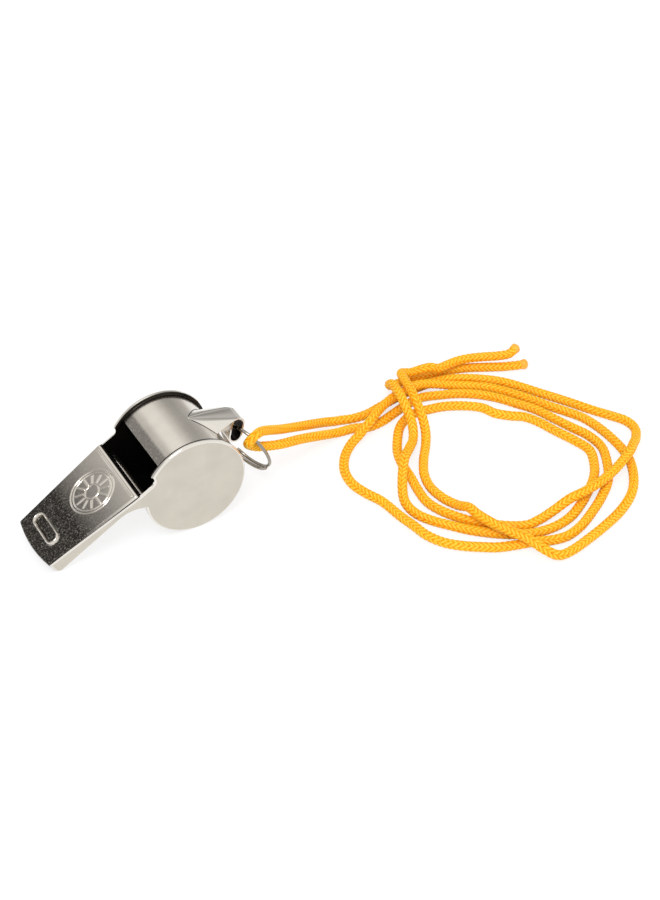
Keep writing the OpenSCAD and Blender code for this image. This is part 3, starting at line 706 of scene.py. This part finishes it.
def lugHood():
    away = np.array([outward[0], 0, outward[1]])
    rows, flank, across = 44, 12, 6
    points = []
    for s in np.linspace(lug["hoodFrom"], 1, rows):
        ridgeAt = outward * (barrel["mid"] + lay["sheet"] / 2) + ahead * lug["length"] * s
        atFoot = s * lug["footShare"]  # the flanks end short of the strip, so the hood's mouth is drawn back
        slit = math.radians(lug["apex"] - lug["slitTurn"] * atFoot)
        half = lug["half"] * s ** lug["widen"]
        footHalf = lug["slitHalf"] * (1 - (1 - atFoot) ** lug["slitWiden"])
        foot = (lug["slitRadius"] * math.cos(slit), lug["slitRadius"] * math.sin(slit))
        beside = lug["slitLine"] * min(1, s / lug["slitBegins"])
        curves = []
        for side in (-1, 1):
            high = np.array([ridgeAt[0], side * half, ridgeAt[1]])
            low = np.array([foot[0], side * footHalf, foot[1]])
            pull = high + lug["pullIn"] * (low - high) + lug["bulge"] * s * away
            curve = [low + np.array([0, side * beside, 0])]
            for t in np.linspace(0, 1, flank):
                curve.append((1 - t) ** 2 * low + 2 * t * (1 - t) * pull + t * t * high)
            curves.append(curve)
        near, far = curves
        lift = away * lug["arch"] * (1 - s) ** 0.5 * half
        crown = []
        for k in range(1, across):
            crown.append(near[-1] + (far[-1] - near[-1]) * k / across + lift * math.sin(math.pi * k / across))
        points += [laid(*p) for p in near + crown + far[::-1]]
    wide = 2 * (flank + 1) + across - 1
    faces = []
    for i in range(rows - 1):
        for j in range(wide - 1):
            a, b = i * wide + j, (i + 1) * wide + j
            faces.append((a, b, b + 1, a + 1))
    hood = addPiece("lugHood", points, faces, plated, "whistle", 75)
    hood.data.materials.append(shadedInside)
    hood.data.materials.append(seamShade)
    for number in range(len(faces)):
        if number % (wide - 1) in (0, wide - 2):  # the slit beside each foot, drawn in painted shade
            hood.data.polygons[number].material_index = 2
    # the sheet's inner face takes the painted shade of the inside
    wall = hood.modifiers.new("sheetWall", "SOLIDIFY")
    wall.thickness = lug["wall"] * mm
    wall.offset = -1
    wall.material_offset = 1


def lugEye():
    start = barrel["mid"] * outward + (lug["length"] - lug["runIn"]) * ahead
    bend, side, lean = lug["bend"], lug["side"], lug["lean"]
    runs = [(lug["runIn"], bend, lean - 90), (side, bend, -180), (side, bend, lug["gap"] - lean - 90)]
    line = bentLine(runs, start, lug["angle"] - 90)
    widths = [(-lug["half"], lug["half"])] * len(line)
    eye = sheetStrip("lugEye", line, lug["eyeSheet"], widths, plated, 0.12, 2)
    eye.data.materials.append(seamShade)
    for i in range(1, len(line) - 1):
        for number in (6 * i + 1, 6 * i + 3):  # the faces inside the curl get painted shade
            eye.data.polygons[number].material_index = 1


barrelBand()
lugHood()
lugEye()
print("barrel and lug made")

# Mouthpiece floor and windway ramp, bent from narrow strips
mouth = {
    "floorTurn": 60, "rampSheet": 0.3, "rampStart": 10.8, "rampGap": 0.05, "rampEnd": 9.5, "legBend": 0.5,
    "leg": 2.0,
}


def innerHalf(u):
    if u < plateSizes["hinge"]:
        return lay["halfOver"] - lay["sheet"]
    return lay["halfOver"] - lay["sheet"] / math.cos(taper) - (u - plateSizes["hinge"]) * math.tan(taper)


def betweenWalls(line):
    return [(-innerHalf(-p[0]), innerHalf(-p[0])) for p in line]


def mouthpieceFloorAndRamp():
    s, m = plateSizes, mouth
    angle, run = math.atan2(lowEdge[1], lowEdge[0]), math.hypot(*lowEdge)
    slope = math.degrees(angle)
    up, way = np.array([-math.sin(angle), math.cos(angle)]), np.array([math.cos(angle), math.sin(angle)])
    corner = np.array([-(s["reach"] - s["tipRound"]), s["tipLow"]])
    flare = (run, s["flare"] + lay["sheet"] / 2, -slope - m["floorTurn"])
    line = bentLine([flare], corner + lay["sheet"] / 2 * up, slope, 5)
    line = line[np.hypot(line[:, 0], line[:, 1]) > s["bandOut"] + 0.1]
    widths = betweenWalls(line)
    floor = sheetStrip("mouthpieceFloor", line, lay["sheet"], widths, plated, 0.1, 4)
    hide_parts("mouthpiece_floor")
    lift = lay["sheet"] + m["rampGap"] + m["rampSheet"] / 2
    foot, flat, bend = corner + m["rampStart"] * way + lift * up, run - m["rampStart"], s["flare"] + lift
    level = foot + flat * way + bend * np.array([math.sin(angle), 1 - math.cos(angle)])
    shelf = -m["rampEnd"] - m["legBend"] - level[0]
    runs = [(flat, bend, -slope), (shelf, m["legBend"], -90), (m["leg"], m["legBend"], 0)]
    line = bentLine(runs, foot, slope)
    widths = betweenWalls(line)
    # the whole ramp takes the painted shade of the inside
    ramp = sheetStrip("windwayRamp", line, m["rampSheet"], widths, shadedInside, 0.06, 4)
    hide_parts("windway_ramp")


mouthpieceFloorAndRamp()

# Top plate: stamped relief, bowed front edge and a lip turned down at the window
topPlate = {
    "height": 8.8, "bow": 0.8, "backHalf": 9.0, "frontHalf": 7.2, "lipFrom": 10.05, "lipRound": 0.9,
    "lipTurn": 75.0, "edge": 0.3,
    "emblemAt": 16.3, "emblemRings": (4.95, 4.35, 1.6), "emblemLine": 0.42, "emblemHeight": 0.16,
    "spokeEvery": 30, "spokeFrom": 1.9, "spokeTo": 4.0, "spokeHeight": 0.144,
    "gripAt": 28.0, "gripSide": 0.45, "gripLength": 8.6, "gripWidth": 2.5, "gripLine": 0.85,
    "gripHeight": 0.7, "gripSink": 0.25, "gripSlope": 0.6,
    "creaseAt": 10.5, "creaseHeight": 0.14, "creaseLine": 0.34, "creaseHalf": 8.2,
    "skinFrom": 11.5, "skinGrows": 12.5, "skinStarts": 10.7, "skinFade": 0.5, "skinLeast": 0.1,
    "wornOff": 0.12,
}


def ridge(distance, width):  # a rounded line of this width over the distance from its middle
    return np.clip(np.cos(np.clip(distance / (width / 2), -1, 1) * math.pi / 2), 0, 1) ** 0.7


def reliefHeight(u, y):
    t = topPlate
    height = np.zeros_like(u)
    fromMiddle = np.hypot(u + t["emblemAt"], y)
    for r in t["emblemRings"]:
        height += t["emblemHeight"] * ridge(np.abs(fromMiddle - r), t["emblemLine"])
    # between the rings, short plain spokes as on a turned button
    turned = np.degrees(np.arctan2(y, u + t["emblemAt"])) / t["spokeEvery"]
    fromSpoke = 1 - np.abs((turned % 1) - 0.5) * 2
    spoke = np.clip(1 - fromSpoke * fromMiddle * 0.9, 0, 1) ** 0.5
    between = (fromMiddle > t["spokeFrom"]) & (fromMiddle < t["spokeTo"])
    height += np.where(between, t["spokeHeight"] * spoke, 0)
    straight, half = (t["gripLength"] - t["gripWidth"]) / 2, t["gripWidth"] / 2
    off = np.hypot(u + t["gripAt"], np.maximum(np.abs(y - t["gripSide"]) - straight, 0))
    height += t["gripHeight"] * ridge(np.abs(off - half), t["gripLine"])
    height -= np.where(off < half, t["gripSink"] * np.clip((half - off) / t["gripSlope"], 0, 1), 0)
    crease = t["creaseHeight"] * ridge(np.abs(u + t["creaseAt"]), t["creaseLine"])
    return height + crease * (np.abs(y) < t["creaseHalf"])


def topHalf(u):  # the plate widens from the tip to the window
    t, s = topPlate, plateSizes
    share = np.clip((s["reach"] + u) / (s["reach"] - t["lipFrom"]), 0, 1)
    return t["frontHalf"] + (t["backHalf"] - t["frontHalf"]) * share


def roundedOff(distance, edge):  # how far a rounded edge has dropped at this distance from it
    return edge - np.sqrt(np.clip(edge**2 - np.clip(edge - distance, 0, edge) ** 2, 0, None))


def mouthpieceTop():
    t, s = topPlate, plateSizes
    columns, rows = 190, 210
    v = np.linspace(-1, 1, columns)
    v = np.sign(v) * (1 - (1 - np.abs(v)) ** 1.25)  # finer at the two side edges
    tip = -(s["reach"] + t["bow"] * (1 - v**2))[None, :]
    flat = tip + (-t["lipFrom"] - tip) * np.linspace(0, 1, rows)[:, None]
    half = topHalf(flat)
    y = half * v[None, :]
    drop = roundedOff(half * (1 - np.abs(v))[None, :], t["edge"])
    drop += roundedOff(flat - tip, t["edge"])
    top = np.stack([flat, y, t["height"] + reliefHeight(flat, y) - drop], -1)
    low, lipIn = t["height"] - lay["sheet"], t["lipRound"] - lay["sheet"]
    lipTop, lipUnder = [], []
    for a in np.radians(np.linspace(0, t["lipTurn"], 12)[1:]):
        along, down = math.sin(a), 1 - math.cos(a)
        out, high = t["lipRound"] * along - t["lipFrom"], t["height"] - t["lipRound"] * down
        lipTop.append(np.stack([out + 0 * v, y[-1], high - drop[-1]], -1))
        within = lipIn * along - t["lipFrom"]
        lipUnder.insert(0, np.stack([within + 0 * v, y[-1], low - lipIn * down + 0 * v], -1))
    under = tip + (-t["lipFrom"] - tip) * np.linspace(1, 0, 12)[:, None]
    under = np.stack([under, topHalf(under) * v[None, :], np.full_like(under, low)], -1)
    loop = np.concatenate([top, lipTop, lipUnder, under])
    around = len(loop)
    points = [laid(*p) for p in loop.reshape(-1, 3)]
    faces = []
    for i in range(around):
        for j in range(columns - 1):
            a, b = i * columns + j, ((i + 1) % around) * columns + j
            faces.append((a, a + 1, b + 1, b))
    for j in (0, columns - 1):
        faces.append(tuple(i * columns + j for i in range(around)))
    plate = addPiece("mouthpieceTop", points, faces, platedStamped, "whistle")
    plate.data.materials.append(shadedInside)
    firstUnder = (len(top) + 4) * (columns - 1)  # painted shade under the plate and on the lip, which stays bright only where it starts to turn
    for number in range(firstUnder, (around - 1) * (columns - 1)):
        plate.data.polygons[number].material_index = 1
    outwards(plate)
    skin = plate.data.attributes.new("stampedSkin", "FLOAT", "POINT")
    u, across, _ = loop.reshape(-1, 3).T
    # the stamped skin is darkest at the tip, starts at the crease and is worn off the relief
    amount = np.clip(t["skinLeast"] + (-u - t["skinFrom"]) / t["skinGrows"], 0, 1)
    amount *= np.clip(1 - reliefHeight(u, across) / t["wornOff"], t["skinLeast"], 1)
    amount *= np.clip((-u - t["skinStarts"]) / t["skinFade"], 0, 1)
    skin.data.foreach_set("value", amount.astype(np.float32))
    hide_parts("mouthpiece_top")


mouthpieceTop()
print("mouthpiece made")


def turnedCork():
    # Agglomerated cork, turned to a ball: tan granules with darker bark flecks
    material, tree, shader = newMaterial("turnedCork", {"Roughness": 0.85})
    tones = [(0.32, linear("#573821")), (0.5, linear("#A67D4E"))]
    where = wanderingTone(tree, shader, 0.6, 4.0, tones)[1]
    # the granules are pressed together about 0.9 mm across
    granules = addNode(tree, "ShaderNodeTexVoronoi", {"Scale": perMetre(0.9)}, where)
    pitted = {"Strength": 0.5, "Distance": 0.00015}
    bump = addNode(tree, "ShaderNodeBump", pitted, {"Height": granules.outputs["Distance"]})
    tree.links.new(bump.outputs["Normal"], shader.inputs["Normal"])
    return material


# Cork ball at the bottom of the barrel
ball = {"radius": 4.5, "height": 6.1, "unevenness": 0.008}


def corkBall():
    rings, around = 32, 56
    points = []
    for i in range(rings + 1):
        for j in range(around):
            a, b = math.pi * i / rings, 2 * math.pi * j / around
            r = ball["radius"] * (1 - ball["unevenness"] * (math.sin(7 * b + 3 * a) * math.sin(5 * a)) ** 2)
            level = r * math.sin(a)
            points.append((level * math.cos(b), level * math.sin(b), ball["height"] + r * math.cos(a)))
    faces = tubeFaces(rings + 1, around)
    piece = addPiece("corkBall", inRow(points), faces, turnedCork(), "ball")
    outwards(piece)
    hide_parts("cork_ball")


corkBall()

# Split ring wound from spring wire, hanging in the eye
ring = {
    "turn": 20.0, "lean": 17.5, "slip": 16.0, "radius": 6.1, "pitch": 0.8, "wire": 0.7,
    "from": -50, "to": 410, "step": 3, "chamfer": (0.7, 0.93),
}


def splitRing():
    turn, lean, slip = (math.radians(ring[k]) for k in ("turn", "lean", "slip"))
    level = math.cos(lean)
    normal = np.array([math.cos(turn) * level, math.sin(turn) * level, math.sin(lean)])
    side = np.array([0, 1, 0]) - normal[1] * normal
    side /= np.linalg.norm(side)
    down = np.cross(side, normal)
    middle = np.array(ringHook) + ring["radius"] * (math.cos(slip) * down - math.sin(slip) * side)
    around = 18
    points = []
    angles = np.arange(ring["from"], ring["to"] + 1, ring["step"])
    for i, a in enumerate(angles):
        out = math.cos(math.radians(a)) * down + math.sin(math.radians(a)) * side
        centre = middle + ring["radius"] * out + ring["pitch"] * (a - 180) / 360 * normal
        # the ends are ground to a short chamfer
        near = min(i, len(angles) - 1 - i)
        radius = ring["wire"] / 2 * (1 if near > 1 else ring["chamfer"][near])
        for j in range(around):
            b = 2 * math.pi * j / around
            points.append(centre + radius * (math.cos(b) * out + math.sin(b) * normal))
    last = (len(angles) - 1) * around
    faces = tubeFaces(len(angles), around)
    faces += [tuple(range(around)), tuple(last + j for j in range(around))]
    piece = addPiece("splitRing", inRow(points), faces, wireNickel, "ring")
    outwards(piece)
    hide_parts("split_ring")


splitRing()
print("ball and ring made")

# Studio: a white table that runs out of view, and soft light from all round. Each patch is a direction
# that the polished faces turn towards, the cosines where its shade begins and is full, and how much
# light it takes away.
studio = {
    "world": 1.0, "key": 2.7, "floor": "#F3F4F6", "lift": 0.72, "tableWhite": 1.07, "tableHalf": 3.0,
    "room": (1.0, 0.985, 0.96, 1),
    "patches": [
        ((-0.52, 0.62, 0.58), 0.935, 0.985, 0.42), ((0.45, 0.66, 0.6), 0.93, 0.975, 0.2),
        ((0.6, 0.66, 0.4), 0.9, 0.98, 0.32), ((-0.9, 0.3, 0.25), 0.82, 0.93, 0.5),
        ((0.25, 0.95, 0.12), 0.8, 0.95, 0.55),
    ],
}


def studioFloor():
    values = {"Base Color": linear(studio["floor"]), "Roughness": 0.9, "Specular IOR Level": 0.1}
    material, tree, shader = newMaterial("whiteTable", values)
    path = addNode(tree, "ShaderNodeLightPath")
    rays = {0: path.outputs["Is Camera Ray"], 1: path.outputs["Is Glossy Ray"]}
    seen = addNode(tree, "ShaderNodeMath", {"operation": "MAXIMUM"}, rays)
    # only part of the table is plain white, so that it keeps the whistle's shadow
    lifted = {"operation": "MULTIPLY", 1: studio["lift"]}
    share = addNode(tree, "ShaderNodeMath", lifted, {0: seen.outputs["Value"]})
    glow = {"Color": (1, 1, 1, 1), "Strength": studio["tableWhite"]}
    white = addNode(tree, "ShaderNodeEmission", glow)
    both = {0: share.outputs["Value"], 1: shader.outputs["BSDF"], 2: white.outputs["Emission"]}
    mix = addNode(tree, "ShaderNodeMixShader", None, both)
    tree.links.new(mix.outputs["Shader"], tree.nodes["Material Output"].inputs["Surface"])
    mesh = bpy.data.meshes.new("table")
    size, level = studio["tableHalf"], -0.00003
    corners = [(-size, -size, level), (size, -size, level), (size, size, level), (-size, size, level)]
    mesh.from_pydata(corners, [], [(0, 1, 2, 3)])
    table = bpy.data.objects.new("table", mesh)
    mesh.materials.append(material)
    bpy.context.scene.collection.objects.link(table)


def studioWorld():
    world = bpy.data.worlds.new("softRoom")
    world.use_nodes = True
    bpy.context.scene.world = world
    tree = world.node_tree
    tree.nodes.clear()
    output = tree.nodes.new("ShaderNodeOutputWorld")
    direction = addNode(tree, "ShaderNodeTexCoord").outputs["Generated"]
    brightness = addNode(tree, "ShaderNodeValue").outputs[0]
    brightness.default_value = studio["world"]
    for way, begin, full, takes in studio["patches"]:
        towards = {"operation": "DOT_PRODUCT", 1: tuple(np.array(way) / np.linalg.norm(way))}
        facing = addNode(tree, "ShaderNodeVectorMath", towards, {0: direction})
        fade = {
            "interpolation_type": "SMOOTHSTEP", "From Min": begin, "From Max": full,
            "To Min": 1.0, "To Max": 1 - takes,
        }
        shade = addNode(tree, "ShaderNodeMapRange", fade, {"Value": facing.outputs["Value"]})
        dimmed = {0: brightness, 1: shade.outputs["Result"]}
        brightness = addNode(tree, "ShaderNodeMath", {"operation": "MULTIPLY"}, dimmed).outputs["Value"]
    room = addNode(tree, "ShaderNodeBackground", {"Color": studio["room"]}, {"Strength": brightness})
    seen = addNode(tree, "ShaderNodeBackground", {"Color": (1, 1, 1, 1), "Strength": 1.0})
    isSeen = addNode(tree, "ShaderNodeLightPath").outputs["Is Camera Ray"]
    both = {0: isSeen, 1: room.outputs["Background"], 2: seen.outputs["Background"]}
    mix = addNode(tree, "ShaderNodeMixShader", None, both)
    tree.links.new(mix.outputs["Shader"], output.inputs["Surface"])


def softLamp(name, at, towards, size, power):
    data = bpy.data.lights.new(name, "AREA")
    data.shape = "DISK"
    data.size = size
    data.energy = power
    lamp = bpy.data.objects.new(name, data)
    lamp.location = at
    lamp.rotation_mode = "QUATERNION"
    lamp.rotation_quaternion = (Vector(towards) - Vector(at)).to_track_quat("-Z", "Y")
    bpy.context.scene.collection.objects.link(lamp)


studioFloor()
studioWorld()
softLamp("keyLamp", (-0.25, -0.35, 0.75), (0.04, -0.01, 0.0), 0.35, studio["key"])
bpy.context.scene.view_settings.view_transform = "Standard"
print("studio lit")
